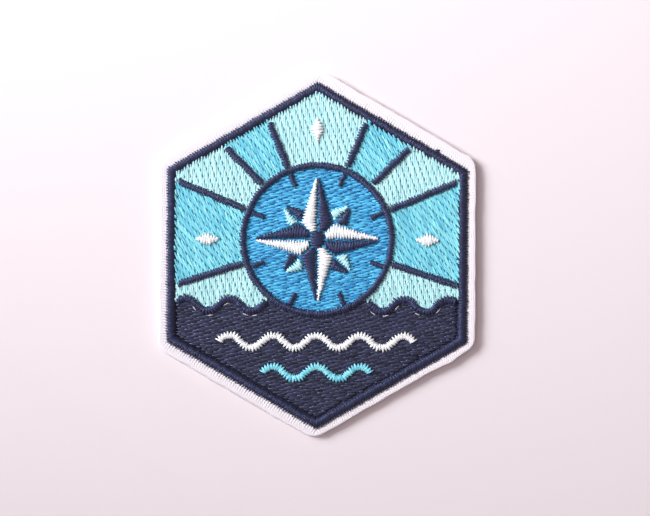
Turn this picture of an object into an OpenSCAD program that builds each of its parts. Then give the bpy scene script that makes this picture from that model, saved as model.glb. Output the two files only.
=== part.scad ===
// Hexagonal embroidered iron-on patch, lying face up: white twill backed with a heat-seal film,
// a navy satin border, a sunburst field round a compass dial, and a navy sea with wave lines.
// Sizes are in millimetres. The layout is drawn about the middle of the border.

/* [Cloth] */
// Thickness of the twill and its stiffener
cloth_t = 1.0; // [0.8:0.05:1.6]
// Thickness of the heat-seal film underneath
film_t = 0.2; // [0.1:0.05:0.4]

/* [Border] */
// Distance from the middle to the border's outer edge, square to a side
border_apothem = 26.25; // [26:0.05:27.5]
// Width of the border
border_w = 2.0; // [1.6:0.1:2.2]
// Height of the border above the cloth
border_h = 0.95; // [0.8:0.05:1.2]

/* [Thread] */
// Height of the filled areas above the cloth
fill_h = 0.45; // [0.3:0.05:0.6]
// Height of a satin line above the filled area that it lies on
satin_h = 0.5; // [0.4:0.05:0.7]

/* [Dial] */
// Height of the dial's centre above the middle of the border
dial_y = 2.8; // [2:0.1:3.5]
// Outer radius of the ring round the dial
dial_r = 13.6; // [13.2:0.1:14]
// Width of the ring
ring_w = 1.3; // [1:0.1:1.6]
// Clearance between the ring and the tips of the star's four long points
tip_clear = 0.4; // [0.2:0.1:1]
// Distance from the dial's centre to the notches between the long points
notch_reach = 4.2; // [3.6:0.1:4.6]
// Reach of the star's four short points
short_reach = 8.6; // [7.6:0.1:9]
// Radius of the button at the dial's centre
hub_r = 1.5; // [1.2:0.1:1.8]
// Width of a tick on the dial
tick_w = 0.95; // [0.8:0.05:1.1]
// Length of a tick
tick_len = 2.3; // [1.8:0.1:2.6]

/* [Field] */
// Width of the rays outside the dial
ray_w = 1.35; // [1:0.05:1.6]
// Length of the lozenges outside the dial
lozenge_len = 4.6; // [3.5:0.1:5]
// Width of a lozenge
lozenge_w = 2.7; // [2:0.1:3]
// Distance from the dial's ring to the middle of a lozenge
lozenge_out = 5.6; // [4:0.1:6]

/* [Sea] */
// Height of the sea's edge below the middle of the border
sea_y = -8.6; // [-9:0.1:-8.2]
// Distance between a wave's crest and the trough beside it
wave_step = 3.8; // [3.7:0.05:3.85]
// Width of the wave lines
wave_w = 1.4; // [1.1:0.05:1.5]
// Place of the white wave line below the middle of the border
white_wave_y = -15.0; // [-15.3:0.1:-14.6]
// Place of the cyan wave line below the middle of the border
cyan_wave_y = -20.4; // [-20.8:0.1:-20]

/* [Hidden] */
// Cloth outside the border, one row for each side, counted anticlockwise from the right-hand one:
// the margin there, and the radius of the cloth's corner after it
MARGIN = 0;
CORNER_R = 1;
sides = [
    [1.40, 2.6],
    [2.10, 4.0],
    [1.60, 3.0],
    [1.30, 3.0],
    [1.65, 3.5],
    [1.25, 3.0],
];
side_count = 6;
side_turn = 360 / side_count;
corner_steps = 8;

// The areas between the rays, one row each, anticlockwise from the lower right:
// the angles where an area starts and ends, and its thread
START = 0;
END = 1;
THREAD = 2;
fields = [
    [-60, -18, "pale"],
    [-18, 22.5, "cyan"],
    [22.5, 45, "pale"],
    [45, 67.5, "cyan"],
    [67.5, 112.5, "pale"],
    [112.5, 135, "cyan"],
    [135, 157.5, "pale"],
    [157.5, 198, "cyan"],
    [198, 240, "pale"],
];
field_count = len(fields);
ray_count = field_count - 1;

// The lozenges outside the dial: name, and direction from the dial's centre
NAME = 0;
DIRECTION = 1;
lozenges = [
    ["lozenge_right", 0],
    ["lozenge_top", 90],
    ["lozenge_left", 180],
];

// Numbers of half waves in the two wave lines, and the steps that draw one half wave
white_halves = 9;
cyan_halves = 5;
wave_steps = 6;
// Steps that draw the rounded top of a wave line
dome_steps = 4;

// Extra room for the slanted end of the sea's edge where it meets the ring
end_lean = 0.28;

// Clearance between neighbours, and heights of the layers
gap = 0.05;
cloth_z = film_t + gap;
fill_z = cloth_z + cloth_t + gap;
satin_z = fill_z + fill_h + gap;
// Upright foot of a satin line's section, as a share of its height
foot_share = 0.25;

// Sizes that follow from the ones above
inner_apothem = border_apothem - border_w - gap;
fill_r = dial_r - ring_w / 2;
long_reach = dial_r - ring_w - tip_clear;
wave_arc = 120;
wave_r = wave_step / (2 * sin(wave_arc / 2));
wave_pitch = wave_step / wave_steps;
point_count = 4;
point_turn = 360 / point_count;
tick_count = 8;
tick_turn = 360 / tick_count;
// A length beyond the whole patch, the step for finding where lines meet, and the fineness of curves
far = 3 * border_apothem;
look = 0.1;
smooth = 96;

function numbers(name, count) = [for (i = [1:count]) str(name, "_", i)];

WHITE = [0.97, 0.96, 0.98];
FILM = [0.88, 0.88, 0.86];
NAVY = [0.20, 0.24, 0.38];
PALE = [0.70, 0.90, 0.94];
CYAN = [0.35, 0.80, 0.89];
BLUE = [0.25, 0.58, 0.79];

// Outlines

function unit(angle) = [cos(angle), sin(angle)];

// Corner of two lines, each given by the angle of its normal and its distance from the middle
function crossing(angle_a, reach_a, angle_b, reach_b) =
    [reach_a * sin(angle_b) - reach_b * sin(angle_a), reach_b * cos(angle_a) - reach_a * cos(angle_b)]
    / sin(angle_b - angle_a);

function side_reach(i) = border_apothem + sides[i % side_count][MARGIN];

function corner_centre(i) =
    let (r = sides[i][CORNER_R])
    crossing(side_turn * i, side_reach(i) - r, side_turn * (i + 1), side_reach(i + 1) - r);

cloth_outline = [
    for (i = [0:side_count - 1], s = [0:corner_steps])
        corner_centre(i) + sides[i][CORNER_R] * unit(side_turn * (i + s / corner_steps))
];

// Middle of the cloth, which stands over the origin
function middle(values) = (min(values) + max(values)) / 2;
cloth_middle = [middle([for (p = cloth_outline) p.x]), middle([for (p = cloth_outline) p.y])];

module hexagon(apothem) {
    rotate(side_turn / 2) circle(apothem / cos(side_turn / 2), $fn = side_count);
}

// A wave is made of arcs of one radius, which bend up and down in turn from a crest at x = 0
function half_number(x) = floor(x / wave_step + 0.5);
function bend(x) = half_number(x) % 2 == 0 ? 1 : -1;
function along_half(x) = x - half_number(x) * wave_step;

// Height of the wave above its middle line, and its slope as an angle
function wave(x) = bend(x) * (sqrt(pow(wave_r, 2) - pow(along_half(x), 2)) - wave_r * cos(wave_arc / 2));
function wave_slope(x) = -bend(x) * asin(along_half(x) / wave_r);

// Everything on one side of the sea's edge: up is 1 above it and -1 below it
module beside_sea(up) {
    last = ceil(border_apothem / wave_pitch);
    edge = [for (i = [-last:last]) [i * wave_pitch, sea_y + wave(i * wave_pitch) + up * gap / 2]];
    polygon(concat(edge, [[last * wave_pitch, up * far], [-last * wave_pitch, up * far]]));
}

// A triangle drawn in by a distance on all three sides, towards the centre of the circle that touches them
function drawn_in(t, distance) =
    let (
        a = norm(t[1] - t[2]),
        b = norm(t[2] - t[0]),
        c = norm(t[0] - t[1]),
        around = a + b + c,
        centre = (a * t[0] + b * t[1] + c * t[2]) / around,
        r = abs(cross(t[1] - t[0], t[2] - t[0])) / around
    )
    [for (p = t) centre + (p - centre) * (1 - distance / r)];

// Satin lines

// Height and radius of the rounded top of a satin line, which stands on a short upright foot
function dome_h(h) = h * (1 - foot_share);
function dome_r(w, h) = (w * w / 4 + pow(dome_h(h), 2)) / (2 * dome_h(h));

// Section across a satin line
module satin_section(w, h) {
    intersection() {
        translate([0, h - dome_r(w, h)]) circle(dome_r(w, h), $fn = smooth);
        translate([-w / 2, 0]) square([w, h]);
    }
}

module satin_stroke(from, to, w, h) {
    way = to - from;
    translate([from.x, from.y, 0])
        rotate([0, 0, atan2(way.y, way.x)])
            rotate([90, 0, 90])
                linear_extrude(norm(way)) satin_section(w, h);
}

// Points round the same section, as distance across the line and height
function satin_points(w, h) =
    let (r = dome_r(w, h), lean = asin(w / 2 / r))
    concat(
        [[-w / 2, 0]],
        [for (s = [0:dome_steps]) let (a = lean * (2 * s / dome_steps - 1)) [r * sin(a), h - r + r * cos(a)]],
        [[w / 2, 0]]
    );

// A satin line that follows the wave between two places. Its ends are square to the line,
// or upright in the layout where square_end is false.
module wave_line(y, from, to, square_end = true) {
    section = satin_points(wave_w, satin_h);
    sides = len(section);
    steps = round((to - from) / wave_pitch);
    rings = [
        for (i = [0:steps])
            let (x = from + (to - from) * i / steps, a = wave_slope(x), upright = i == steps && !square_end)
            [for (p = section) upright
                ? [x, y + wave(x) + p.x / cos(a), p.y]
                : [x - p.x * sin(a), y + wave(x) + p.x * cos(a), p.y]]
    ];
    skin = [
        for (i = [0:steps - 1], j = [0:sides - 1])
            let (k = (j + 1) % sides)
            each [
                [i * sides + j, i * sides + k, (i + 1) * sides + k],
                [i * sides + j, (i + 1) * sides + k, (i + 1) * sides + j]
            ]
    ];
    start_cap = [for (j = [sides - 1:-1:0]) j];
    end_cap = [for (j = [0:sides - 1]) steps * sides + j];
    polyhedron([for (ring = rings) each ring], concat(skin, [start_cap, end_cap]));
}

// Layers

module on_cloth() {
    translate([-cloth_middle.x, -cloth_middle.y, fill_z]) children();
}

module on_fill() {
    translate([-cloth_middle.x, -cloth_middle.y, satin_z]) children();
}

module on_dial() {
    on_fill() translate([0, dial_y, 0]) children();
}

// The pieces

module heat_seal_film() {
    color(FILM)
        translate([-cloth_middle.x, -cloth_middle.y, 0])
            linear_extrude(film_t) polygon(cloth_outline);
}

module base_cloth() {
    color(WHITE)
        translate([-cloth_middle.x, -cloth_middle.y, cloth_z])
            linear_extrude(cloth_t) polygon(cloth_outline);
}

// Six satin lines that meet in mitred corners
module border_satin() {
    to_corner = 1 / cos(side_turn / 2);
    color(NAVY) on_cloth()
        rotate([0, 0, side_turn / 2]) rotate_extrude($fn = side_count)
            translate([(border_apothem - border_w / 2) * to_corner, 0])
                polygon(satin_points(border_w * to_corner, border_h));
}

module field(i) {
    area = fields[i - 1];
    color(area[THREAD] == "pale" ? PALE : CYAN) on_cloth() linear_extrude(fill_h) difference() {
        intersection() {
            hexagon(inner_apothem);
            beside_sea(1);
            translate([0, dial_y])
                polygon([[0, 0], far * unit(area[START]), far * unit((area[START] + area[END]) / 2),
                         far * unit(area[END])]);
        }
        translate([0, dial_y]) {
            circle(fill_r + gap, $fn = smooth);
            for (side = [START, END]) rotate(area[side]) translate([0, -gap]) square([far, 2 * gap]);
        }
    }
}

module ray(i) {
    angle = fields[i][START];
    color(NAVY) on_fill() intersection() {
        translate([0, dial_y, 0])
            satin_stroke((dial_r + gap) * unit(angle), far * unit(angle), ray_w, satin_h);
        linear_extrude(satin_h) hexagon(inner_apothem);
    }
}

module lozenge(i) {
    color(WHITE) on_dial() rotate([0, 0, lozenges[i][DIRECTION]]) translate([dial_r + lozenge_out, 0, 0])
        linear_extrude(satin_h)
            polygon([[-lozenge_len / 2, 0], [0, -lozenge_w / 2], [lozenge_len / 2, 0], [0, lozenge_w / 2]]);
}

module sea_fill() {
    color(NAVY) on_cloth() linear_extrude(fill_h) difference() {
        intersection() {
            hexagon(inner_apothem);
            beside_sea(-1);
        }
        translate([0, dial_y]) circle(fill_r + gap, $fn = smooth);
    }
}

// The sea's edge between the dial's ring and the border
module sea_line() {
    clear_of_ring = dial_r + gap + end_lean;
    starts = [for (i = [0:inner_apothem / look]) i * look];
    start = min([for (x = starts) if (norm([x, sea_y + wave(x) - dial_y]) > clear_of_ring) x]);
    color(NAVY) wave_line(sea_y, start, inner_apothem, square_end = false);
}

module sea_line_right() {
    on_fill() sea_line();
}

module sea_line_left() {
    on_fill() mirror([1, 0, 0]) sea_line();
}

module wave_white() {
    reach = white_halves / 2 * wave_step;
    color(WHITE) on_fill() wave_line(white_wave_y, -reach, reach);
}

module wave_cyan() {
    reach = cyan_halves / 2 * wave_step;
    color(CYAN) on_fill() wave_line(cyan_wave_y, -reach, reach);
}

module dial_fill() {
    color(BLUE) on_cloth() translate([0, dial_y, 0]) cylinder(fill_h, fill_r, fill_r, $fn = smooth);
}

module dial_ring() {
    color(NAVY) on_dial()
        rotate_extrude($fn = smooth) translate([dial_r - ring_w / 2, 0]) satin_section(ring_w, satin_h);
}

module hub() {
    color(NAVY) on_dial() rotate_extrude($fn = smooth) intersection() {
        satin_section(2 * hub_r, satin_h);
        square([hub_r, satin_h]);
    }
}

// Half of a star point: a triangle kept clear of its neighbours and of the hub
module star_half(corners) {
    difference() {
        linear_extrude(satin_h) polygon(drawn_in(corners, gap));
        translate([0, 0, -gap]) cylinder(satin_h + 2 * gap, hub_r + gap, hub_r + gap, $fn = smooth);
    }
}

// A long point's half, on the side given by turn, 1 or -1, of the direction angle
module long_half(angle, turn) {
    star_half([[0, 0], long_reach * unit(angle), notch_reach * unit(angle + turn * point_turn / 2)]);
}

// A short point's half starts at the notch and widens to where the long point's edge hides it
module short_half(angle, turn) {
    notch = notch_reach * unit(angle);
    tip = long_reach * unit(angle + turn * point_turn / 2);
    way = unit(angle + turn * point_turn / 4);
    share = cross(way, notch) / cross(way, notch - tip);
    star_half([notch, short_reach * unit(angle), notch + share * (tip - notch)]);
}

module long_point_light(i) {
    color(WHITE) on_dial() long_half(point_turn * i, 1);
}

module long_point_dark(i) {
    color(NAVY) on_dial() long_half(point_turn * i, -1);
}

module short_point_light(i) {
    color(PALE) on_dial() short_half(point_turn * (i - 0.5), 1);
}

module short_point_dark(i) {
    color(NAVY) on_dial() short_half(point_turn * (i - 0.5), -1);
}

module tick(i) {
    outer = dial_r - ring_w - gap;
    angle = tick_turn * (i - 0.5);
    inner = outer - tick_len;
    color(NAVY) on_dial() satin_stroke(inner * unit(angle), outer * unit(angle), tick_w, satin_h);
}

heat_seal_film();
base_cloth();
border_satin();
for (i = [1:field_count]) field(i);
for (i = [1:ray_count]) ray(i);
for (i = [0:len(lozenges) - 1]) lozenge(i);
sea_fill();
sea_line_left();
sea_line_right();
wave_white();
wave_cyan();
dial_fill();
dial_ring();
hub();
for (i = [1:point_count]) long_point_light(i);
for (i = [1:point_count]) long_point_dark(i);
for (i = [1:point_count]) short_point_light(i);
for (i = [1:point_count]) short_point_dark(i);
for (i = [1:tick_count]) tick(i);
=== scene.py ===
import math

import bpy
import numpy as np
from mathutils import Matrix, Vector


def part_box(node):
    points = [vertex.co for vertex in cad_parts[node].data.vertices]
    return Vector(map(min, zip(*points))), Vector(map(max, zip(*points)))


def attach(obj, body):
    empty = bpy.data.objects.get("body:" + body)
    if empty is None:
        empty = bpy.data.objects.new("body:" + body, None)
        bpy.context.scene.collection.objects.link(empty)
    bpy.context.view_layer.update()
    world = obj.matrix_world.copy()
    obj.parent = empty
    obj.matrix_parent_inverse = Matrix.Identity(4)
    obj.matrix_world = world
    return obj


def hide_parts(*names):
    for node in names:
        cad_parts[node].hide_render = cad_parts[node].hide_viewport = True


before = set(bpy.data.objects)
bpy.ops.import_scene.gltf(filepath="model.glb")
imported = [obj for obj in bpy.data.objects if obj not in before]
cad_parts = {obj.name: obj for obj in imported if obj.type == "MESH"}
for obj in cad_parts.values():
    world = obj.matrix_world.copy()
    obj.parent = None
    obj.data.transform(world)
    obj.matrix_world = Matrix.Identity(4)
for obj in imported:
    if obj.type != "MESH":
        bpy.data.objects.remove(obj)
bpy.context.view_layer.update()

# Lengths in this script are millimetres, and a mesh is scaled to metres when it is made
MM = 0.001
BODY = "root"


def box(node):
    """A node's lowest and highest corners."""
    return [np.array(corner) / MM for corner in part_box(node)]


# The middles of the hexagon and of the dial
border_low, border_high = box("border_satin")
CENTRE = (border_low[:2] + border_high[:2]) / 2
BORDER_APOTHEM = (border_high[0] - border_low[0]) / 2
DIAL = sum(box("dial_ring"))[:2] / 2

# Heights of the cloth and the film, of the filled areas, and of the satin that lies on them
CLOTH_LOW, CLOTH_TOP = (corner[2] for corner in box("base_cloth"))
FILM_TOP = box("heat_seal_film")[1][2]
FILL_LOW, FILL_TOP = (corner[2] for corner in box("sea_fill"))
SATIN_TOP = box("dial_ring")[1][2]
BORDER_TOP = border_high[2]

# Satin: distance between neighbouring threads along a line, half a thread's width and height, how far it
# dives at its needle hole, how far the hole may stray, and how much a thread may bow, rise or be wider
SATIN_PITCH = 0.24
SATIN_HALF_W = 0.16
SATIN_HALF_H = 0.1
SATIN_DIVE = 0.16
SATIN_STRAY = 0.065
SATIN_BOW = 0.02
SATIN_LIFT = 0.014
SATIN_UNEVEN = 0.05

# How far satin sinks into the fill at its edges. Satin narrower than the second number lies lower, and where
# it is narrower than the third it has no thread.
SATIN_SINK = 0.05
NARROW = 2.0
LEAST_SATIN = 0.3

# The border is flatter on top than other satin, and stays a little under its solid's top. Its inner foot, a
# share of its width, lies low under the tips of the fills. Its outer needle holes jut out past the solid, and
# lie this far above the cloth under it. Its threads fan out at the corners, over this many times the
# difference between half its outer and half its inner side.
ROUND_TOP = 2.0
FLAT_TOP = 2.1
BORDER_DROP = 0.2
BORDER_FOOT = 0.13
BORDER_JUT = 0.12
BORDER_LIFT = 0.12
CORNER_FAN = 2.2

# A line of satin's form: the heights of its left edge, right edge and top, how flat its top is, and its foot
FILL_SATIN = (FILL_TOP - SATIN_SINK, FILL_TOP - SATIN_SINK, SATIN_TOP, ROUND_TOP, 0.0)
BORDER_SATIN = (CLOTH_TOP + BORDER_LIFT, FILL_LOW, BORDER_TOP - BORDER_DROP, FLAT_TOP, BORDER_FOOT)

# The tie-off knot at the border's outer edge: which side, its place along that side and beyond the border,
# its threads' number, points and length, their spread to each side, in direction and in height
KNOT_SIDE = 1
KNOT_ALONG = -8.95
KNOT_OUT = 0.12
KNOT_THREADS = 7
KNOT_POINTS = 5
KNOT_LENGTH = 0.9
KNOT_SPREAD = 0.13
KNOT_LEAN = 0.35
KNOT_LOW = 0.12
KNOT_RISE = 0.34

# Padding under the satin: how far it stays inside the edges, at most this share of the width, how far under
# the threads, and its least height. The border's reaches nearer to its edges, so that cloth shows only
# between the tips of its threads.
CORE_INSET = 0.4
CORE_MOST = 0.3
CORE_DROP = 0.14
CORE_LEAST = 0.06
RIM_INSET = 0.34
FOOT_INSET = 0.03

# Fills: distance between rows, half a thread's width and height, how much wider one may be, how far it dives
# at its needle hole, how far rows run out past the solid, the least distance from a row's end to its first
# hole, and the height of the ground under them as a share of the solid's. In a stitch shorter than the last
# number times the reach of its holes, they are drawn together.
ROW_PITCH = 0.26
FILL_HALF_W = 0.18
FILL_HALF_H = 0.1
FILL_UNEVEN = 0.06
FILL_DIVE = 0.3
FILL_GROW = 0.12
LEAST_STITCH = 0.75
MAT_SHARE = 0.3
HOLE_ROOM = 2.2

# Fills by their thread: a stitch's length, shift from row to row as a share of it, a random shift besides,
# stray to the side and in height, and how far the fill runs out over the border's inner edge
FILLS = {
    "pale": (3.9, 0.25, 0.02, 0.022, 0.014, 0.4),
    "cyan": (3.4, 0.25, 0.05, 0.032, 0.022, 0.4),
    "blue": (2.4, 0.5, 0.2, 0.03, 0.03, 0.0),
    "navy": (2.1, 0.38, 0.15, 0.04, 0.045, 0.0),
}

# Where a fill's outline is this near the border's inner edge, it is drawn out over it. Its tips rise there by
# no more than the second number, and stay this clear of the border's threads.
BORDER_NEAR = 0.2
TIP_RISE = 0.26
TIP_CLEAR = 0.03

# Where a fill ends, two rows share a needle hole and make a tooth: how far apart the rows' ends may lie, the
# tooth's length, how far it may jut out, and in how many random lengths
PAIR_REACH = 1.0
TOOTH = 1.1
EDGE_JAG = 0.45
JAG_COUNT = 997

# The hexagon's sides, half the border's outer side, and the needle holes along a whole one
SIDE_COUNT = 6
SIDE_TURN = 2 * math.pi / SIDE_COUNT
HALF_SIDE = BORDER_APOTHEM * math.tan(SIDE_TURN / 2)
HOLES_PER_SIDE = 2 * round(HALF_SIDE / SATIN_PITCH)

# Cloth: steps along its cut edge, rings from there to under the border, how far under it they reach, its
# rounded edge, the heights of its wall's rings as shares, their fray, and how far in its relief fades out
CLOTH_STEP = 0.11
CLOTH_RINGS = 26
CLOTH_TUCK = 0.9
EDGE_ROUND = 0.09
WALL_STEPS = (0.0, 0.3, 0.6, 0.85)
FRAY = 0.012
FADE_FROM = 0.85

# Rings of the undersides, how far the film stays inside the cloth's edge, and its share of the flare there
UNDER_RINGS = 6
FILM_INSET = 0.04
FILM_FLARE = 1.25

# The film's rim, from its underside up: share of its thickness, and how far it stays inside the edge
FILM_RIM = ((0.0, 0.04), (0.25, 0.0), (0.8, 0.0), (1.0, 0.03))

# The border's threads pull the cloth down, so that the margin stands higher outside it: by how much, from how
# far under the border, over what width, and how much more at the right
MARGIN_RISE = 0.24
MARGIN_UNDER = 0.25
MARGIN_REACH = 0.35
MARGIN_LEAN = 0.17

# Slips of cloth that show under the sea's lines: the gaps between them, their lengths, half their width and
# height, their points, how much their ends taper, and how far out they lie
SLIP_GAPS = (0.5, 3.2)
SLIP_LENGTHS = (0.6, 1.3)
SLIP_HALF_W = 0.08
SLIP_HALF_H = 0.05
SLIP_POINTS = 5
SLIP_TAPER = 0.75
SLIP_OUT = 0.14

# Weave: distance between wales and between yarns, length of a float, depth, lean, the share of the depth
# that the floats make, and the wales after which they fall in line again
WALE_PITCH = 0.36
YARN_PITCH = 0.2
FLOAT_PITCH = 0.55
WALE_DEPTH = 0.035
WALE_LEAN = math.radians(6)
FLOAT_SHARE = 0.4
FLOAT_WALES = 3

# Pull of the border's threads on the cloth: depth of the dimples, reach of the ridges, where they are
# strongest and by how much, and the beats and depth of their unevenness along a side
PULL_DEPTH = 0.07
PULL_REACH = 0.8
PULL_ANGLE = math.radians(235)
PULL_MORE = 0.7
PULL_BEATS = (1.9, 0.63)
PULL_UNEVEN = 0.5

# At the lower left the cut slants: how far the cloth's underside and the film jut out past its top
FLARE = 0.36
FLARE_ANGLE = math.radians(238)
FLARE_NARROW = 4

# The cut edge: how far it sways, in how many waves round the patch, the steps each way between which its
# direction is taken, and the nick after one corner
CUT_SWAY = 0.12
CUT_WAVES = (5, 11, 17, 29, 47)
CUT_SPAN = 6
NICK_ANGLE = math.radians(-38)
NICK_DEPTH = 0.3
NICK_W = 1.3

# Seeds, besides those that are given with the fills and the lines of satin
BORDER_SEED = 1
KNOT_SEED = 5
CUT_SEED = 7
FRAY_SEED = 8
SLIP_SEED = 9

# Shades of what isn't a thread. The ground under a fill and the padding under satin sit near the dark end of
# # their thread's colours: painted shade for the gaps between the threads, where they show.
MAT_PAINTED_SHADE = 0.05
CORE_PAINTED_SHADE = 0.1
SHEET_SHADE = 0.5

# Sections of a thread, as shares of its half width and half height: rounded above, flatter below
SATIN_SECTION = np.array([(1.0, -0.25), (0.90, 0.42), (0.55, 0.84), (0.0, 1.0),
                          (-0.55, 0.84), (-0.90, 0.42), (-1.0, -0.25), (0.0, -0.8)])
FILL_SECTION = np.array([(1.0, -0.2), (0.78, 0.78), (0.0, 1.0), (-0.78, 0.78), (-1.0, -0.2), (0.0, -0.8)])


# Points and directions

def length(vectors):
    return np.linalg.norm(vectors, axis=-1)


def unit(vectors):
    return vectors / np.maximum(length(vectors), 1e-9)[..., None]


def toward(angle):
    """The direction at an angle, in radians, or at each of several."""
    return np.stack([np.cos(angle), np.sin(angle)], -1)


def turned(points, angle):
    """Points turned by an angle, in radians, about the origin."""
    c, s = toward(angle)
    return points @ np.array([[c, s], [-s, c]])


def raised(flat, level):
    """Points in the plane with their heights."""
    return np.concatenate([flat, level[..., None]], -1)


def measured(points):
    """Distance along a chain of points."""
    return np.concatenate([[0], np.cumsum(length(np.diff(points, axis=0)))])


def stepped(points, along, steps):
    """Points at those distances along a chain."""
    return np.stack([np.interp(steps, along, points[:, k]) for k in (0, 1)], 1)


def hexagon_frame(places):
    """For places about the middle: how far out each is towards the side it faces, and its place along it."""
    x, y = np.moveaxis(places, -1, 0)
    turn = np.round(np.arctan2(y, x) / SIDE_TURN) * SIDE_TURN
    c, s = np.cos(turn), np.sin(turn)
    return x * c + y * s, y * c - x * s


def hexagon_ring(edge, apothem):
    """Points of a hexagon of that size, in the directions of the edge's points."""
    way = unit(edge)
    out, _ = hexagon_frame(way)
    return way * (apothem / out)[:, None]


# Mesh making

def linked(name, data):
    made = bpy.data.objects.new(name, data)
    bpy.context.scene.collection.objects.link(made)
    return made


# A thread's cell on the bake map: its length for its width, its margin, the share for an end face, and how
# far that face reaches in it
CELL_ASPECT = 4.0
CELL_MARGIN = 0.06
CELL_END = 0.05
CELL_REACH = 0.4

# A thread's twist starts within this distance of its neighbours'
TWIST_SHIFT = 3.9


class Shells:
    """Gathers the closed shells of one piece, with a shade for each. Its Thread map runs once round a thread
    and along it in millimetres, and on its bake map each thread has a cell of its own."""

    def __init__(self):
        self.places, self.shades, self.loops, self.totals, self.maps, self.cells = ([] for _ in range(6))
        self.count = self.cell_count = 0

    def add(self, places, faces, shade, face_maps, face_cells=None, cells=1):
        """faces is a list of arrays of corner indices, one array for each number of corners. face_maps holds
        the map's points for the same corners, and face_cells their cell and their place in it."""
        for corners, points in zip(faces, face_maps):
            self.loops.append((corners + self.count).ravel())
            self.maps.append(points.reshape(-1, 2))
            self.totals.append(np.full(len(corners), corners.shape[1]))
        if face_cells:
            for points in face_cells:
                self.cells.append(points.reshape(-1, 3) + (self.cell_count, 0, 0))
            self.cell_count += cells
        self.places.append(places)
        self.shades.append(np.broadcast_to(shade, len(places)))
        self.count += len(places)

    def bake_map(self):
        """The corners' places on the bake map, which is a grid of cells."""
        cells = np.concatenate(self.cells)
        columns = max(1, round(math.sqrt(self.cell_count / CELL_ASPECT)))
        rows = math.ceil(self.cell_count / columns)
        corner = np.stack([cells[:, 0] % columns, cells[:, 0] // columns], 1)
        return (corner + CELL_MARGIN + (1 - 2 * CELL_MARGIN) * cells[:, 1:]) / (columns, rows)

    def make(self, name, material):
        places = np.concatenate(self.places) * MM
        loops = np.concatenate(self.loops)
        totals = np.concatenate(self.totals)
        mesh = bpy.data.meshes.new(name)
        mesh.vertices.add(len(places))
        mesh.vertices.foreach_set("co", places.astype(np.float32).ravel())
        mesh.loops.add(len(loops))
        mesh.loops.foreach_set("vertex_index", loops.astype(np.int32))
        mesh.polygons.add(len(totals))
        starts = np.concatenate([[0], np.cumsum(totals)[:-1]])
        mesh.polygons.foreach_set("loop_start", starts.astype(np.int32))
        mesh.polygons.foreach_set("use_smooth", np.ones(len(totals), bool))
        layers = {"Thread": np.concatenate(self.maps)}
        if self.cells:
            layers["OFBake"] = self.bake_map()
        for layer, points in layers.items():
            mesh.uv_layers.new(name=layer).uv.foreach_set("vector", points.astype(np.float32).ravel())
        shade = mesh.attributes.new("shade", "FLOAT", "POINT")
        shade.data.foreach_set("value", np.concatenate(self.shades).astype(np.float32))
        mesh.update(calc_edges=True)
        mesh.validate()
        mesh.materials.append(material)
        return linked(name, mesh)


def grid_faces(rings, sides, closed_rings=False, flipped=False):
    """Quads of a tube with that many rings of that many points, and the ring and side of each corner."""
    last = rings if closed_rings else rings - 1
    ring, side = np.meshgrid(np.arange(last), np.arange(sides), indexing="ij")
    ring, side = ring.ravel(), side.ravel()
    rings_of = np.stack([ring, ring, ring + 1, ring + 1], 1)
    sides_of = np.stack([side, side + 1, side + 1, side], 1)
    if flipped:
        rings_of, sides_of = rings_of[:, ::-1], sides_of[:, ::-1]
    return (rings_of % rings) * sides + sides_of % sides, rings_of, sides_of


def end_faces(rings, sides):
    """The faces over a tube's first ring and its last one."""
    return np.stack([np.arange(sides)[::-1], (rings - 1) * sides + np.arange(sides)])


def tube_cells(along, around):
    """Places in a cell for a tube's sides, from shares of its length and of the way round it."""
    return CELL_END + (1 - 2 * CELL_END) * along, around


def end_cells(last, around):
    """Places in a cell for a tube's end faces, from whether it is the last one and the share of the turn."""
    turn = 2 * math.pi * around
    middle = np.where(last, 1 - CELL_END / 2, CELL_END / 2)
    return middle + CELL_REACH * CELL_END * np.cos(turn), 0.5 + CELL_REACH * np.sin(turn)


def add_threads(shells, paths, half_w, half_h, section, shades):
    """One closed tube for each row of paths (threads, points, 3), with half its width and height at each
    point and a shade for each tube."""
    count, points, _ = paths.shape
    sides = len(section)
    way = unit(np.gradient(paths, axis=1))
    flat = unit((paths[:, -1] - paths[:, 0])[:, :2])
    across = np.stack([-flat[:, 1], flat[:, 0], np.zeros(count)], 1)[:, None]
    up = unit(np.cross(way, np.broadcast_to(across, way.shape)))
    rings = (
        paths[:, :, None]
        + across[:, :, None] * (half_w[:, :, None, None] * section[:, :1])
        + up[:, :, None] * (half_h[:, :, None, None] * section[:, 1:])
    )
    quads, rings_of, sides_of = grid_faces(points, sides)
    starts = (np.arange(count) * points * sides)[:, None, None]
    caps = end_faces(points, sides)
    steps = np.cumsum(length(np.diff(paths, axis=1)), axis=1)
    along = np.concatenate([np.zeros((count, 1)), steps], 1) + shades[:, None] * TWIST_SHIFT
    cap_rings = np.stack([np.zeros(sides, int), np.full(sides, points - 1)])
    cap_turns = caps % sides / sides
    thread = np.arange(count)[:, None, None]

    def each(*columns):
        """The columns side by side, for every thread."""
        shape = np.broadcast_shapes(*(np.shape(column) for column in columns))
        return np.stack([np.broadcast_to(column, shape) for column in columns], -1)

    shells.add(
        rings.reshape(-1, 3),
        [(quads[None] + starts).reshape(-1, 4), (caps[None] + starts).reshape(-1, sides)],
        np.repeat(shades, points * sides),
        [each(sides_of / sides, along[:, rings_of]), each(cap_turns, along[:, cap_rings])],
        [each(thread, *tube_cells(rings_of / (points - 1), sides_of / sides)),
         each(thread, *end_cells(cap_rings > 0, cap_turns))],
        count,
    )


# Outlines of the frame's nodes

# Decimals to which a node's vertices are welded, and how far above its lowest one its underside may reach
WELD_DECIMALS = 4
UNDERSIDE = 0.01


def welded(node):
    """A node's polygons, the number of each vertex's place, and the places."""
    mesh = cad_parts[node].data
    keys = {}
    places = np.round([np.array(v.co) / MM for v in mesh.vertices], WELD_DECIMALS)
    numbers = np.array([keys.setdefault(tuple(place), len(keys)) for place in places])
    return mesh.polygons, numbers, np.array(list(keys))


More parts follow.
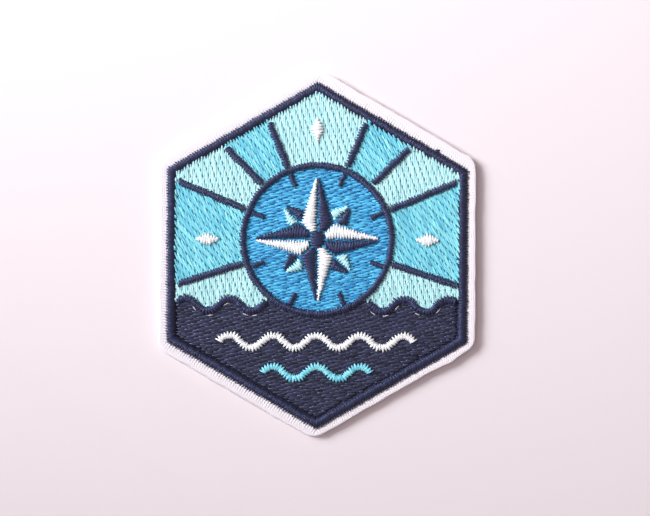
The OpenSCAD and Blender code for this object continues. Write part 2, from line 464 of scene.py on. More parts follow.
def bottom_loops(node):
    """The outlines of a node's underside, each as its corners in order."""
    polygons, numbers, points = welded(node)
    low = points[:, 2].min()
    edges = {}
    for polygon in polygons:
        corners = numbers[list(polygon.vertices)].tolist()
        if points[corners, 2].max() > low + UNDERSIDE:
            continue
        for a, b in zip(corners, corners[1:] + corners[:1]):
            if (b, a) in edges:
                del edges[(b, a)]
            elif a != b:
                edges[(a, b)] = True
    after = dict(edges.keys())
    loops = []
    while after:
        start = next(iter(after))
        loop = [start]
        step = after.pop(start)
        while step != start:
            loop.append(step)
            step = after.pop(step)
        loops.append(points[loop, :2])
    return sorted(loops, key=len, reverse=True)


INNER_APOTHEM = bottom_loops("border_satin")[1][:, 0].max() - CENTRE[0]


def scan(loops, height):
    """Where a level line at that height crosses the loops, as pairs of starts and ends."""
    found = []
    for loop in loops:
        a, b = loop, np.roll(loop, -1, axis=0)
        crossing = (a[:, 1] > height) != (b[:, 1] > height)
        (ax, ay), (bx, by) = a[crossing].T, b[crossing].T
        found.extend(ax + (height - ay) / (by - ay) * (bx - ax))
    found.sort()
    return list(zip(found[::2], found[1::2]))


# Ribbons: the two edges of a satin line, point by point at its thread pitch

def radial_ribbon(node):
    """A line or point that runs away from the dial's middle. Its threads lie square to that way."""
    loop = bottom_loops(node)[0]
    away = loop - DIAL
    tip = away[np.argmax(length(away))]
    middle = (loop.min(0) + loop.max(0)) / 2 - DIAL
    way = tip if node.startswith(("long", "short")) else middle
    angle = math.atan2(way[1], way[0]) - math.pi / 2
    level = turned(away, -angle)
    rows = np.arange(level[:, 1].min() + SATIN_PITCH / 2, level[:, 1].max(), SATIN_PITCH)
    ends = [(row, scan([level], row)) for row in rows]
    ends = [(found[0][0], row, found[-1][1]) for row, found in ends if found]
    ends = np.array([e for e in ends if e[2] - e[0] > LEAST_SATIN])
    return turned(ends[:, [0, 1]], angle) + DIAL, turned(ends[:, [2, 1]], angle) + DIAL


def swept_ribbon(node):
    """A line swept along a curve. Its ends are the two longest steps of its outline."""
    loop = bottom_loops(node)[0]
    lengths = length(np.roll(loop, -1, axis=0) - loop)
    first, second = sorted(np.argsort(lengths)[-2:])
    left = loop[first + 1:second + 1]
    right = np.concatenate([loop[second + 1:], loop[:first + 1]])[::-1]
    if left[0, 0] > left[-1, 0]:
        left, right = left[::-1], right[::-1]
    along = measured((left + right) / 2)
    steps = np.arange(SATIN_PITCH / 2, along[-1], SATIN_PITCH)
    return stepped(left, along, steps), stepped(right, along, steps)


def ring_ribbon():
    """The ring round the dial."""
    loops = bottom_loops("dial_ring")
    inner, outer = sorted(length(loop - DIAL).mean() for loop in loops)
    count = 2 * round(math.pi * (inner + outer) / 2 / SATIN_PITCH)
    way = toward(np.arange(count) / count * 2 * math.pi)
    return DIAL + way * outer, DIAL + way * inner


def border_ribbon():
    """Threads lie square to each side, and fan out round the corners."""
    half_inner = INNER_APOTHEM * math.tan(SIDE_TURN / 2)
    fan = CORNER_FAN * (HALF_SIDE - half_inner)
    outer = (np.arange(HOLES_PER_SIDE) + 0.5) / HOLES_PER_SIDE * 2 * HALF_SIDE - HALF_SIDE
    beyond = np.maximum(np.abs(outer) - (HALF_SIDE - fan), 0)
    inner = np.sign(outer) * (np.abs(outer) - beyond + beyond * (half_inner - HALF_SIDE + fan) / fan)
    left, right = [], []
    for side in range(SIDE_COUNT):
        out = toward(SIDE_TURN * side)
        along = np.array([-out[1], out[0]])
        left.append(CENTRE + (BORDER_APOTHEM + BORDER_JUT) * out + outer[:, None] * along)
        right.append(CENTRE + INNER_APOTHEM * out + inner[:, None] * along)
    return np.concatenate(left), np.concatenate(right)


def disc_ribbon(node):
    """A disc whose threads all lie across it the same way."""
    low, high = (corner[:2] for corner in box(node))
    middle, reach = (low + high) / 2, (high[0] - low[0]) / 2
    rows = np.arange(-reach + SATIN_PITCH / 2, reach, SATIN_PITCH)
    half = np.sqrt(reach ** 2 - rows ** 2)
    return middle + np.stack([-half, rows], 1), middle + np.stack([half, rows], 1)


# Satin

# Places along a satin thread, and its thickness there
SATIN_STEPS = np.array([0, 0.04, 0.13, 0.29, 0.5, 0.71, 0.87, 0.96, 1])
SATIN_SWELL = np.array([0.24, 0.44, 0.72, 0.94, 1, 0.94, 0.72, 0.44, 0.24])


def dome(share, power):
    """Height of a satin line across its width, from 0 at its edges to 1 in the middle."""
    return np.sqrt(np.maximum(1 - np.abs(2 * share - 1) ** power, 0))


def satin_height(share, width, low_left, low_right, top, power, foot):
    """Height of the threads' middles at a share of the way from the left edge to the right one."""
    low = low_left * (1 - share) + low_right * share
    rise = np.minimum(1, np.sqrt(width / NARROW))
    return low + (top - SATIN_HALF_H - low) * rise * dome(np.minimum(share / (1 - foot), 1), power)


def add_satin(shells, left, right, form, rng, closed=False):
    """Threads that go to and fro between the two edges, and the padding under them."""
    *_, power, foot = form
    count = len(left)
    even = (np.arange(count) % 2 == 0)[:, None]
    outward = unit(left - right)
    holes = np.where(even, left, right)
    holes = holes + np.where(even, outward, -outward) * rng.normal(0, SATIN_STRAY, (count, 1))
    after = np.roll(holes, -1, axis=0)
    start, end = np.where(even, holes, after), np.where(even, after, holes)
    if not closed:
        start, end = start[:-1], end[:-1]
    total = len(start)
    steps, swell = SATIN_STEPS * (1 - foot), SATIN_SWELL
    if foot:
        steps, swell = np.append(steps, 1), np.append(swell, swell[-1])
    share = steps[None]
    width = length(end - start)[:, None]
    level = satin_height(share, width, *form)
    level = level + rng.normal(0, SATIN_LIFT, (total, 1)) * dome(share, power)
    level[:, 0] -= SATIN_DIVE
    level[:, -1] -= SATIN_DIVE
    flat = start[:, None] * (1 - share[..., None]) + end[:, None] * share[..., None]
    side = unit(end - start)[:, ::-1] * np.array([-1, 1])
    bow = rng.normal(0, SATIN_BOW, (total, 1)) * np.sin(math.pi * share)
    flat = flat + side[:, None] * bow[..., None]
    swell = np.broadcast_to(swell, (total, len(steps)))
    half_w = SATIN_HALF_W * swell * rng.normal(1, SATIN_UNEVEN, (total, 1))
    add_threads(shells, raised(flat, level), half_w, SATIN_HALF_H * swell, SATIN_SECTION, rng.random(total))
    add_core(shells, left, right, form, closed)


def add_knot(shells, rng):
    """The lump where the border's thread is tied off: a few short threads that lie along its outer edge."""
    outward = toward(SIDE_TURN * KNOT_SIDE)
    ahead = np.array([-outward[1], outward[0]])
    middle = CENTRE + outward * (BORDER_APOTHEM + KNOT_OUT) + ahead * KNOT_ALONG
    middle = middle + rng.normal(0, KNOT_SPREAD, (KNOT_THREADS, 1)) * outward
    lean = rng.normal(0, KNOT_LEAN, (KNOT_THREADS, 1))
    way = ahead * np.cos(lean) + outward * np.sin(lean)
    share = np.linspace(-1, 1, KNOT_POINTS)
    flat = middle[:, None] + way[:, None] * share[:, None] * KNOT_LENGTH / 2
    crown = CLOTH_TOP + KNOT_LOW + KNOT_RISE * rng.random((KNOT_THREADS, 1))
    level = crown - SATIN_DIVE * share ** 2
    swell = np.broadcast_to(1 - share ** 2 / 2, level.shape)
    add_threads(shells, raised(flat, level), SATIN_HALF_W * swell, SATIN_HALF_H * swell, SATIN_SECTION,
                rng.random(KNOT_THREADS))


# Places across the padding, from its left edge to its right one
CORE_STEPS = np.array([0, 0.12, 0.5, 0.88, 1])


def add_core(shells, left, right, form, closed):
    """The padding under satin: one closed ribbon that stays inside the edges and under the threads."""
    width = length(right - left)[:, None]
    first = last = np.minimum(CORE_INSET / width, CORE_MOST)
    if form[-1]:
        first, last = RIM_INSET / width, FOOT_INSET / width
    share = first + (1 - first - last) * CORE_STEPS
    low = min(form[:2])
    level = np.maximum(satin_height(share, width, *form) - CORE_DROP, low + CORE_LEAST)
    flat = left[:, None] * (1 - share[..., None]) + right[:, None] * share[..., None]
    roof = raised(flat, level)
    floor = roof[:, [-1, 0]].copy()
    floor[..., 2] = low - SATIN_DIVE
    rings = np.concatenate([roof, floor], 1)
    count, sides = rings.shape[:2]
    quads, rings_of, sides_of = grid_faces(count, sides, closed, flipped=True)
    faces = [quads]
    maps = [np.stack([sides_of / sides, rings_of * SATIN_PITCH], -1)]
    cells = [np.stack([0 * quads, *tube_cells(rings_of / count, sides_of / sides)], -1)]
    if not closed:
        caps = end_faces(count, sides)[:, ::-1]
        turns = caps % sides / sides
        faces.append(caps)
        maps.append(np.stack([turns, 0 * turns], -1))
        cells.append(np.stack([0 * caps, *end_cells(caps >= sides, turns)], -1))
    # The padding takes a shade near its thread's dark end: painted shade where it shows between the threads.
    shells.add(rings.reshape(-1, 3), faces, CORE_PAINTED_SHADE, maps, cells)


# Fills

# Distances from a needle hole along the stitch, and the thread's dive and thickness there: inside a fill, by
# its thread, and at its edge, where the threads end in points
HOLE_REACH = np.array([0, 0.12, 0.30, 0.60, 1.10])
HOLE_FORMS = {
    "pale": ([0.86, 0.65, 0.37, 0.1, 0], [0.46, 0.58, 0.8, 0.97, 1]),
    "cyan": ([1, 0.76, 0.43, 0.12, 0], [0.36, 0.5, 0.76, 0.96, 1]),
    "blue": ([0.82, 0.71, 0.51, 0.22, 0], [0.36, 0.5, 0.76, 0.96, 1]),
    "navy": ([0.46, 0.36, 0.22, 0.07, 0], [0.62, 0.74, 0.88, 0.98, 1]),
}
EDGE_FORM = ([0.4, 0.16, 0.05, 0, 0], [0.14, 0.27, 0.48, 0.8, 1])


def row_stretches(level):
    """The stretches of each row that lie inside the outlines, by the row's number."""
    low = min(loop[:, 1].min() for loop in level)
    high = max(loop[:, 1].max() for loop in level)
    rows = range(math.ceil(low / ROW_PITCH), math.floor(high / ROW_PITCH) + 1)
    return {row: scan(level, row * ROW_PITCH) for row in rows}


def edge_hole(rows, row, side, place):
    """Where a row's end is drawn to: its place along the row, how far aside, and the lower of the two rows
    that share the hole."""
    partner = row + 1 if (row + side) % 2 == 0 else row - 1
    near = [stretch[side] for stretch in rows.get(partner, []) if abs(stretch[side] - place) < PAIR_REACH]
    if not near:
        return place, 0.0, row
    other = min(near, key=lambda found: abs(found - place))
    return (place + other) / 2, (partner - row) * ROW_PITCH / 2, min(row, partner)


def over_border(loop, overlap):
    """An outline about the middle, drawn out over the border's inner edge where it meets the border."""
    out, _ = hexagon_frame(loop)
    reach = np.where(out > INNER_APOTHEM - BORDER_NEAR, (INNER_APOTHEM + overlap) / np.maximum(out, 1), 1)
    return loop * reach[:, None]


def border_surface(out):
    """Height of the border's threads at that distance from the middle, square to a side."""
    width = BORDER_APOTHEM - INNER_APOTHEM
    share = np.clip((BORDER_APOTHEM - out) / width, 0, 1)
    middle = satin_height(share, width, CLOTH_TOP, *BORDER_SATIN[1:])
    return np.where(out > INNER_APOTHEM, middle + SATIN_HALF_H, 0)


def fill_stitches(level, stitch, stagger, loose, rng):
    """One line for each stitch: start, end, row's height, how far aside its start and its end are drawn,
    and whether they lie at the fill's edge."""
    rows = row_stretches(level)
    jags = rng.uniform(0, EDGE_JAG, (JAG_COUNT, 2))
    found = []
    for row, stretches in rows.items():
        shift = (row * stagger + rng.uniform(-loose, loose)) * stitch
        for stretch in stretches:
            low, low_pull, low_pair = edge_hole(rows, row, 0, stretch[0])
            high, high_pull, high_pair = edge_hole(rows, row, 1, stretch[1])
            low -= FILL_GROW + jags[low_pair % JAG_COUNT, 0]
            high += FILL_GROW + jags[high_pair % JAG_COUNT, 1]
            if high - low < LEAST_STITCH / 2:
                continue
            first = math.ceil((low + LEAST_STITCH - shift) / stitch)
            last = math.floor((high - LEAST_STITCH - shift) / stitch)
            inside = [shift + k * stitch for k in range(first, last + 1)]
            holes = [low] + inside + [high]
            for k, (start, end) in enumerate(zip(holes, holes[1:])):
                at_low, at_high = k == 0, k == len(holes) - 2
                found.append((start, end, row * ROW_PITCH, at_low * low_pull, at_high * high_pull,
                              at_low, at_high))
    return np.array(found)


def add_fill(shells, loops, degrees, colour, rng):
    """Rows of long stitches, each row shifted against the one before it."""
    stitch, stagger, loose, stray, lift, overlap = FILLS[colour]
    angle = math.radians(degrees)
    outlines = [turned(over_border(loop - CENTRE, overlap), -angle) for loop in loops]
    stitches = fill_stitches(outlines, stitch, stagger, loose, rng)
    start, end, height, low_pull, high_pull, at_low, at_high = (column[:, None] for column in stitches.T)
    total = len(stitches)

    def by_end(at_edge, inside):
        """Values along each stitch, which differ where it ends at the fill's edge."""
        ends = [np.where(at_end, at_edge, inside) for at_end in (at_low, at_high)]
        return np.concatenate([ends[0], ends[1][:, ::-1]], 1)

    reach = HOLE_REACH * np.minimum(1, (end - start) / (HOLE_ROOM * HOLE_REACH[-1]))
    along = np.concatenate([start + reach, (end - reach)[:, ::-1]], 1)
    share = (along - start) / (end - start)
    sink, swell = (by_end(*values) for values in zip(EDGE_FORM, HOLE_FORMS[colour]))
    tooth = np.maximum(0, 1 - reach / TOOTH)
    pull = np.concatenate([low_pull * tooth, (high_pull * tooth)[:, ::-1]], 1)
    slant = rng.normal(0, stray / 2, (total, 2))
    across = height + pull + slant[:, :1] * (1 - share) + slant[:, 1:] * share
    across = across + rng.normal(0, stray, (total, 1)) * np.sin(math.pi * share)
    level = FILL_TOP - FILL_HALF_H - FILL_DIVE * sink + rng.normal(0, lift, (total, 1)) * (1 - sink)
    flat = turned(np.stack([along, across], -1), angle)
    if overlap:
        out, _ = hexagon_frame(flat)
        level += np.clip(border_surface(out) + TIP_CLEAR - level, 0, TIP_RISE) * (1 - sink)
    half_w = FILL_HALF_W * swell * rng.normal(1, FILL_UNEVEN, (total, 1))
    add_threads(shells, raised(flat + CENTRE, level), half_w, FILL_HALF_H * swell, FILL_SECTION,
                rng.random(total))


def add_mat(shells, node):
    """The covered ground under a fill: the node's own outline, less high."""
    polygons, numbers, points = welded(node)
    low = points[:, 2].min()
    points[:, 2] = low + (points[:, 2] - low) * MAT_SHARE
    faces = numbers[[list(polygon.vertices) for polygon in polygons]]
    faces = faces[[len(set(face)) == 3 for face in faces.tolist()]]
    lean = points[:, :2] + points[:, 2:] / 2
    cell = (lean - lean.min(0)) / np.ptp(lean, axis=0)
    cells = np.concatenate([np.zeros((len(points), 1)), cell], 1)
    # The ground takes a shade near its thread's dark end: painted shade for the gaps between stitches.
    shells.add(points, [faces], MAT_PAINTED_SHADE, [points[faces][..., :2]], [cells[faces]])


# Materials

def linear(red, green, blue):
    """A colour given as a photograph's numbers, 0 to 255, in Blender's linear ones."""
    shares = [value / 255 for value in (red, green, blue)]
    return tuple(s / 12.92 if s <= 0.04045 else ((s + 0.055) / 1.055) ** 2.4 for s in shares) + (1.0,)


def add_node(tree, kind, inputs=None, **settings):
    made = tree.nodes.new("ShaderNode" + kind)
    for name, value in settings.items():
        setattr(made, name, value)
    for name, value in (inputs or {}).items():
        if isinstance(value, bpy.types.NodeSocket):
            tree.links.new(value, made.inputs[name])
        else:
            made.inputs[name].default_value = value
    return made


def compute(tree, operation, *values):
    """What a math node makes of the values."""
    return add_node(tree, "Math", dict(enumerate(values)), operation=operation).outputs[0]


def noise(tree, point, scale, detail):
    inputs = {"Vector": point, "Scale": scale, "Detail": detail}
    return add_node(tree, "TexNoise", inputs).outputs["Fac"]


def waves(tree, point, way, pitch, distortion, detail, detail_scale):
    """Waves along an axis. A wave texture of scale 1 repeats at a tenth of pi."""
    scale = math.pi / 10 / (pitch * MM)
    inputs = {"Vector": point, "Scale": scale, "Distortion": distortion, "Detail": detail,
              "Detail Scale": detail_scale}
    return add_node(tree, "TexWave", inputs, bands_direction=way).outputs["Fac"]


def blended(tree, share, first, second):
    """A colour between the two."""
    first_socket, second_socket, result = 6, 7, 2
    inputs = {"Factor": share, first_socket: first, second_socket: second}
    return add_node(tree, "Mix", inputs, data_type="RGBA").outputs[result]


def new_material(name):
    material = bpy.data.materials.new(name)
    material.use_nodes = True
    material.node_tree.nodes.clear()
    return material, material.node_tree


def finish_material(tree, colour, roughness, relief=None, depth=0.0, strength=0.0, **more):
    """The shader and its relief, which is depth millimetres deep. more holds other inputs of the shader."""
    inputs = {"Base Color": colour, "Roughness": roughness}
    if relief:
        bump = {"Height": relief, "Distance": depth * MM, "Strength": strength}
        inputs["Normal"] = add_node(tree, "Bump", bump).outputs["Normal"]
    inputs.update({name.replace("_", " "): value for name, value in more.items()})
    shader = add_node(tree, "BsdfPrincipled", inputs)
    add_node(tree, "OutputMaterial", {"Surface": shader.outputs["BSDF"]})


# The distance along a thread from one strand to the next, their number, the weight of their furrows beside
# the fibres, the fibres' fineness round and along it, a stitch's own weight in its colour, and how far the
# roughness falls and rises
TWIST_PITCH = 0.9
STRANDS = 2
STRAND_WEIGHT = 0.5
FIBRE_SCALE = (9.0, 1.6, 1.0)
STITCH_WEIGHT = 0.65
ROUGH_LESS = 0.08
ROUGH_MORE = 0.1


def thread_material(name, dark, light, roughness, gloss=0.6, tint=(1, 1, 1, 1), spread=(0.25, 1.4)):
    """A twisted thread with fibres along it. Each stitch lies between the dark and the light colour; a narrow
    spread sets them further apart."""
    material, tree = new_material(name)
    point = add_node(tree, "UVMap", uv_map="Thread").outputs["UV"]
    split = add_node(tree, "SeparateXYZ", {"Vector": point})
    around = compute(tree, "MULTIPLY", split.outputs["X"], STRANDS)
    turn = compute(tree, "MULTIPLY_ADD", split.outputs["Y"], 1 / TWIST_PITCH, around)
    strand = compute(tree, "SINE", compute(tree, "MULTIPLY", turn, 2 * math.pi))
    stretch = add_node(tree, "Mapping", {"Vector": point, "Scale": FIBRE_SCALE})
    fibres = noise(tree, stretch.outputs["Vector"], scale=1.0, detail=3.0)
    shade = add_node(tree, "Attribute", attribute_name="shade").outputs["Fac"]
    blend = compute(tree, "MULTIPLY_ADD", shade, STITCH_WEIGHT, fibres)
    share = add_node(tree, "MapRange", {"Value": blend, "From Min": spread[0], "From Max": spread[1]})
    limits = {"Value": fibres, "To Min": roughness - ROUGH_LESS, "To Max": roughness + ROUGH_MORE}
    rough = add_node(tree, "MapRange", limits)
    finish_material(
        tree, blended(tree, share.outputs["Result"], dark, light), rough.outputs["Result"],
        relief=compute(tree, "MULTIPLY_ADD", strand, STRAND_WEIGHT, fibres), depth=0.01, strength=0.8,
        Specular_IOR_Level=gloss, Specular_Tint=tint, Sheen_Weight=0.15,
    )
    return material


def cloth_material():
    """White cotton and polyester twill: fine yarns across the wales, with a faint lavender cast."""
    material, tree = new_material("twill")
    point = add_node(tree, "TexCoord").outputs["Object"]
    yarns = waves(tree, point, "Y", YARN_PITCH, distortion=1.5, detail=2.0, detail_scale=3.0)
    wales = waves(tree, point, "X", WALE_PITCH, distortion=0.8, detail=1.0, detail_scale=1.0)
    fuzz = noise(tree, point, scale=6000.0, detail=4.0)
    yarn_weight, fuzz_weight = 0.6, 0.8
    weave = compute(tree, "MULTIPLY_ADD", yarns, yarn_weight, wales)
    finish_material(
        tree, blended(tree, fuzz, linear(230, 218, 229), linear(248, 238, 246)), 0.8,
        relief=compute(tree, "MULTIPLY_ADD", fuzz, fuzz_weight, weave), depth=0.02, strength=0.7,
        Sheen_Weight=0.2,
    )
    return material


def film_material():
    """Milky heat-seal film, slightly glossy, with a faint uneven relief."""
    material, tree = new_material("seal_film")
    point = add_node(tree, "TexCoord").outputs["Object"]
    relief = noise(tree, point, scale=1400.0, detail=3.0)
    tint = blended(tree, relief, linear(214, 210, 204), linear(238, 235, 232))
    finish_material(tree, tint, 0.38, relief=relief, depth=0.05, strength=0.5)
    return material


NAVY_SHINE = (0.58, 0.62, 0.97, 1.0)
SATIN_SHINE = (0.5, 0.53, 1.0, 1.0)
BLUE_SHINE = (0.5, 0.85, 1.0, 1.0)

# Each thread's name, dark and light colour, roughness, and where given its gloss, the gloss's tint and
# spread.
# # The border's navy is the lines' navy satin thread made darker, as painted shade.
THREADS = {
    "navy": ("navy_thread", linear(18, 19, 38), linear(50, 51, 81), 0.4, 0.9, NAVY_SHINE, (0.55, 1.1)),
    "navy satin": ("navy_satin_thread", linear(12, 14, 34), linear(40, 46, 84), 0.48, 0.95, SATIN_SHINE),
    "navy border": ("navy_border_thread", linear(8, 9, 24), linear(28, 31, 63), 0.48, 0.95, SATIN_SHINE),
    "pale": ("pale_thread", linear(160, 216, 228), linear(203, 246, 251), 0.42),
    "cyan": ("cyan_thread", linear(64, 178, 214), linear(164, 243, 253), 0.42),
    "blue": ("blue_thread", linear(36, 132, 196), linear(88, 196, 244), 0.38, 1.0, BLUE_SHINE, (0.5, 1.15)),
    "white": ("white_thread", linear(232, 230, 236), linear(250, 248, 252), 0.45),
}

# A material slot name for each colour, and its material
SLOTS = {colour: ("thread_" + colour.split()[0], thread_material(*look)) for colour, look in THREADS.items()}
SLOTS["cloth"] = ("twill", cloth_material())
SLOTS["film"] = ("seal_film", film_material())


# Pieces

def place(shells, name, colour, node=None):
    """A piece in that colour, in the node's place if one is given."""
    slot, material = SLOTS[colour]
    piece = shells.make(name, material)
    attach(piece, BODY)
    if node:
        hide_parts(node)
    return piece


def satin_piece(node, colour, ribbon, seed, closed=False):
    shells = Shells()
    add_satin(shells, *ribbon, FILL_SATIN, np.random.default_rng(seed), closed)
    place(shells, node + "_stitches", colour, node)


def fill_piece(node, colour, degrees, seed):
    shells = Shells()
    add_fill(shells, bottom_loops(node), degrees, colour, np.random.default_rng(seed))
    add_mat(shells, node)
    place(shells, node + "_stitches", colour, node)


def radial_pieces(count, *kinds):
    """Numbered lines that run away from the dial, as many of each kind, with the kind's first seed."""
    for i in range(1, count + 1):
        for kind, colour, seed in kinds:
            satin_piece(f"{kind}_{i}", colour, radial_ribbon(f"{kind}_{i}"), seed + i)


def border_piece():
    shells = Shells()
    add_satin(shells, *border_ribbon(), BORDER_SATIN, np.random.default_rng(BORDER_SEED), closed=True)
    add_knot(shells, np.random.default_rng(KNOT_SEED))
    # The border's navy is the navy thread darkened as painted shade.
    place(shells, "border_satin_stitches", "navy border", "border_satin")


# Cloth and film

def cut_outline():
    """The cloth's cut edge about the middle, in even steps: a little uneven, with a nick by one corner."""
    loop = bottom_loops("base_cloth")[0] - CENTRE
    loop = np.concatenate([loop, loop[:1]])
    along = measured(loop)
    count = round(along[-1] / CLOTH_STEP)
    steps = np.arange(count) / count * along[-1]
    edge = stepped(loop, along, steps)
    ahead = unit(np.roll(edge, -CUT_SPAN, axis=0) - np.roll(edge, CUT_SPAN, axis=0))
    outward = np.stack([ahead[:, 1], -ahead[:, 0]], 1)
    rng = np.random.default_rng(CUT_SEED)
    turns = np.outer(CUT_WAVES, steps / along[-1]) + rng.random((len(CUT_WAVES), 1))
    sway = CUT_SWAY * np.sin(2 * math.pi * turns).mean(0)
    off = (1 - unit(edge) @ toward(NICK_ANGLE)) * 2 * length(edge) ** 2
    sway -= NICK_DEPTH * np.exp(-off / NICK_W ** 2)
    return edge + outward * sway[:, None]


def flared(edge, share):
    """The edge moved out by a share of the flare."""
    facing = np.maximum(unit(edge) @ toward(FLARE_ANGLE), 0) ** FLARE_NARROW
    return edge + unit(edge) * (FLARE * share * facing)[:, None]


def ripple(turns):
    """A wave between 0 and 1."""
    return 0.5 + 0.5 * np.sin(2 * math.pi * turns)


def twill_relief(places):
    """Height of the weave: wales that run nearly up the patch, each broken into short floats."""
    across, up = np.moveaxis(turned(places, -WALE_LEAN), -1, 0)
    broken = ripple(up / FLOAT_PITCH + np.floor(across / WALE_PITCH) / FLOAT_WALES)
    return WALE_DEPTH * ripple(across / WALE_PITCH) * (1 - FLOAT_SHARE + FLOAT_SHARE * broken)


def pull_relief(places):
    """Dimples at the border's outer needle holes, and the ridges that its threads pull up between them.
    They are strongest at the lower left."""
    out, along = hexagon_frame(places)
    pitch = 2 * HALF_SIDE / HOLES_PER_SIDE
    phase = math.pi * (along + HALF_SIDE - pitch / 2) / pitch
    facing = np.maximum(unit(places) @ toward(PULL_ANGLE), 0)
    uneven = np.sin(PULL_BEATS[0] * along) * np.sin(PULL_BEATS[1] * along + 1)
    strength = 1 + PULL_MORE * facing ** 2 + PULL_UNEVEN * uneven
    fade = np.exp(-np.maximum(out - BORDER_APOTHEM, 0) / PULL_REACH)
    return -PULL_DEPTH * strength * np.cos(phase) * fade


def margin_rise(places):
    """How far the margin stands above the cloth under the border."""
    out, _ = hexagon_frame(places)
    beyond = np.maximum(out - BORDER_APOTHEM + MARGIN_UNDER, 0)
    rise = MARGIN_RISE + MARGIN_LEAN * unit(places)[..., 0]
    return rise * (1 - np.exp(-beyond / MARGIN_REACH))


def under_rings(edge, inner, height):
    """Rings at that height, raised with the margin, from under the border out towards the cut edge."""
    share = np.arange(UNDER_RINGS)[:, None, None] / UNDER_RINGS
    flat = inner * (1 - share) + edge * share
    return raised(flat, height + margin_rise(flat))


def sheet_piece(rings, name, colour, node):
    """A closed solid of outlines, from its underside round its rim to its top, with a face over each end."""
    count, sides = rings.shape[:2]
    quads, _, _ = grid_faces(count, sides, flipped=True)
    caps = end_faces(count, sides)
    flat = rings.reshape(-1, 3) + (*CENTRE, 0)
    shells = Shells()
    shells.add(flat, [quads, caps], SHEET_SHADE, [flat[quads][..., :2], flat[caps][..., :2]])
    return place(shells, name, colour, node)


def cloth_piece(edge):
    """The twill, with its cut edge and its woven top."""
    reach = length(edge)[:, None]
    inner = hexagon_ring(edge, BORDER_APOTHEM - CLOTH_TUCK)
    share = np.linspace(0, 1, CLOTH_RINGS)[:, None, None]
    flat = edge * (1 - share) + inner * share
    level = twill_relief(flat) + pull_relief(flat) - WALE_DEPTH
    distance = share[..., 0] * length(edge - inner)
    level -= EDGE_ROUND * np.exp(-distance / EDGE_ROUND)
    level *= 1 - np.clip((share[..., 0] - FADE_FROM) / (1 - FADE_FROM), 0, 1)
    top = raised(flat, CLOTH_TOP + level + margin_rise(flat))
    rng = np.random.default_rng(FRAY_SEED)
    low = CLOTH_LOW + margin_rise(edge)
    wall = []
    for height in WALL_STEPS:
        fray = rng.normal(0, FRAY, (len(edge), 1)) if height else 0.0
        ring = flared(edge, 1 - height) * (1 + fray / reach)
        wall.append(raised(ring, low + (top[0, :, 2] - low) * height))
    rings = np.concatenate([under_rings(edge, inner, CLOTH_LOW), np.array(wall), top])
    piece = sheet_piece(rings, "twill_cloth", "cloth", "base_cloth")


def film_piece(edge):
    reach = length(edge)[:, None]
    edge = flared(edge * (1 - FILM_INSET / reach), FILM_FLARE)
    inner = hexagon_ring(edge, BORDER_APOTHEM)
    rim = []
    for height, inset in FILM_RIM:
        ring = edge * (1 - inset / reach)
        rim.append(raised(ring, FILM_TOP * height + margin_rise(ring)))
    top = under_rings(edge, inner, FILM_TOP)[::-1]
    rings = np.concatenate([under_rings(edge, inner, 0), np.array(rim), top])
    sheet_piece(rings, "seal_film_sheet", "film", "heat_seal_film")


def cloth_slips():
    """Where the sea's fill and the lines above it don't quite meet, slips of the cloth show between them."""
    rng = np.random.default_rng(SLIP_SEED)
    shells = Shells()
    share = np.linspace(0, 1, SLIP_POINTS)
    for node in ("sea_line_left", "sea_line_right"):
        upper, lower = sorted(swept_ribbon(node), key=lambda edge: -edge[:, 1].mean())
        line = lower + unit(lower - upper) * SLIP_OUT
        along = measured(line)
        slips = []
        start = rng.uniform(*SLIP_GAPS)
        while start < along[-1] - SLIP_LENGTHS[1]:
            size = rng.uniform(*SLIP_LENGTHS)
            slips.append(stepped(line, along, start + size * share))
            start += size + rng.uniform(*SLIP_GAPS)
        flat = np.array(slips)
        level = np.full(flat.shape[:2], FILL_TOP)
        swell = np.broadcast_to(1 - SLIP_TAPER * (2 * share - 1) ** 2, level.shape)
        add_threads(shells, raised(flat, level), SLIP_HALF_W * swell, SLIP_HALF_H * swell, FILL_SECTION,
                    rng.random(len(flat)))
    place(shells, "cloth_slips", "cloth")


# The fields lie anticlockwise from the lower right, pale and cyan in turn, with their rows at these angles
FIELD_COUNT = 9
FIELD_ROWS = {"pale": 95, "cyan": 118}
for i in range(1, FIELD_COUNT + 1):
    colour = "pale" if i % 2 else "cyan"
    fill_piece(f"field_{i}", colour, FIELD_ROWS[colour], 100 + i)
fill_piece("sea_fill", "navy", 0, 120)
fill_piece("dial_fill", "blue", 4, 121)

border_piece()
satin_piece("dial_ring", "navy satin", ring_ribbon(), 2, closed=True)
satin_piece("hub", "navy satin", disc_ribbon("hub"), 3)
radial_pieces(8, ("ray", "navy satin", 10), ("tick", "navy satin", 20))
for i, name in enumerate(("lozenge_right", "lozenge_top", "lozenge_left")):
    satin_piece(name, "white", radial_ribbon(name), 30 + i)
radial_pieces(4, ("long_point_light", "white", 40), ("long_point_dark", "navy satin", 50),
              ("short_point_light", "pale", 60), ("short_point_dark", "navy satin", 70))

WAVES = (("sea_line_left", "navy satin"), ("sea_line_right", "navy satin"), ("wave_white", "white"),
         ("wave_cyan", "cyan"))
for i, (name, colour) in enumerate(WAVES):
    satin_piece(name, colour, swept_ribbon(name), 80 + i)

cut_edge = cut_outline()
film_piece(cut_edge)
cloth_piece(cut_edge)
cloth_slips()


# Floor, light and camera

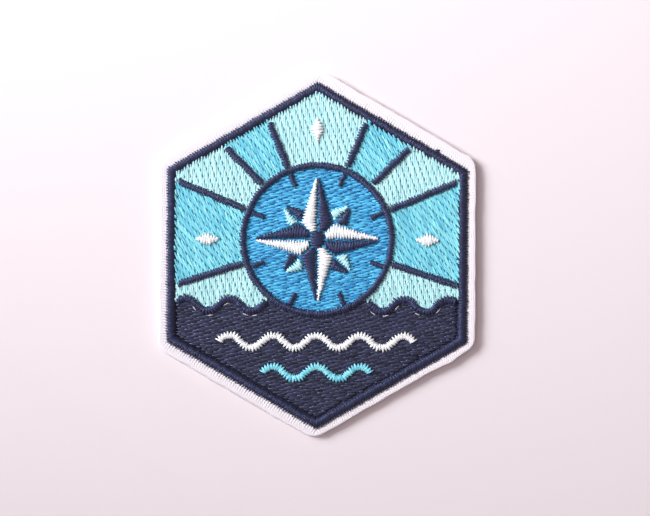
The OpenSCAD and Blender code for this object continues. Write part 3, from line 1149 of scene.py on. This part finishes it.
FLOOR_SIZE = 4000.0
bpy.ops.mesh.primitive_plane_add(size=FLOOR_SIZE * MM, location=(0, 0, 0))
floor = bpy.context.active_object
floor.name = "floor"
paper, paper_tree = new_material("paper")
finish_material(paper_tree, linear(238, 224, 231), 0.7)
floor.data.materials.append(paper)

# Two discs of light, each with its direction in degrees, round the patch and up from the floor, its distance
# in metres, the point it faces, its size, its spread and its power. The key light stands at the left. It
# faces the floor beyond the patch's upper left, and its spread is narrow, so that the floor darkens towards
# the lower right. A wide, weak one above it softens the shadow.
LIGHTS = {
    "key": (163, 38, 0.6, (-0.02, 0.15, 0.0), 0.4, 50, 0.9),
    "soft": (160, 56, 0.8, (0.0, 0.0, 0.0), 0.8, 180, 1.4),
}
LIGHT_COLOUR = (0.93, 1.0, 1.0)
for name, (azimuth, height, distance, aim, size, spread, power) in LIGHTS.items():
    flat, up = toward(math.radians(height))
    way = Vector((*(flat * toward(math.radians(azimuth))), up))
    disc = bpy.data.lights.new(name, "AREA")
    disc.shape = "DISK"
    disc.size = size
    disc.spread = math.radians(spread)
    disc.energy = power
    disc.color = LIGHT_COLOUR
    light = linked(name, disc)
    light.location = way * distance + Vector(aim)
    light.rotation_euler = way.to_track_quat("Z", "Y").to_euler()

WORLD_COLOUR = (1.0, 0.87, 0.84, 1.0)
WORLD_STRENGTH = 0.32
world = bpy.data.worlds.new("studio")
world.use_nodes = True
background = world.node_tree.nodes["Background"]
background.inputs["Color"].default_value = WORLD_COLOUR
background.inputs["Strength"].default_value = WORLD_STRENGTH
bpy.context.scene.world = world
bpy.context.scene.view_settings.view_transform = "Standard"

# The camera looks straight down, with its up a little turned. The frame at the patch is this wide.
FRAME_W = 113.5
LENS = 90.0
SENSOR = 36.0
CAMERA_PLACE = np.array([1.39, -0.41])
CAMERA_TURN = math.radians(0.3)
CLIP_START = 10.0
camera_data = bpy.data.cameras.new("camera")
camera_data.lens = LENS
camera_data.sensor_width = SENSOR
camera_data.clip_start = CLIP_START * MM
camera = linked("camera", camera_data)
camera.location = np.array([*(CENTRE + CAMERA_PLACE), CLOTH_TOP + FRAME_W / SENSOR * LENS]) * MM
camera.rotation_euler = (0, 0, CAMERA_TURN)
bpy.context.scene.camera = camera
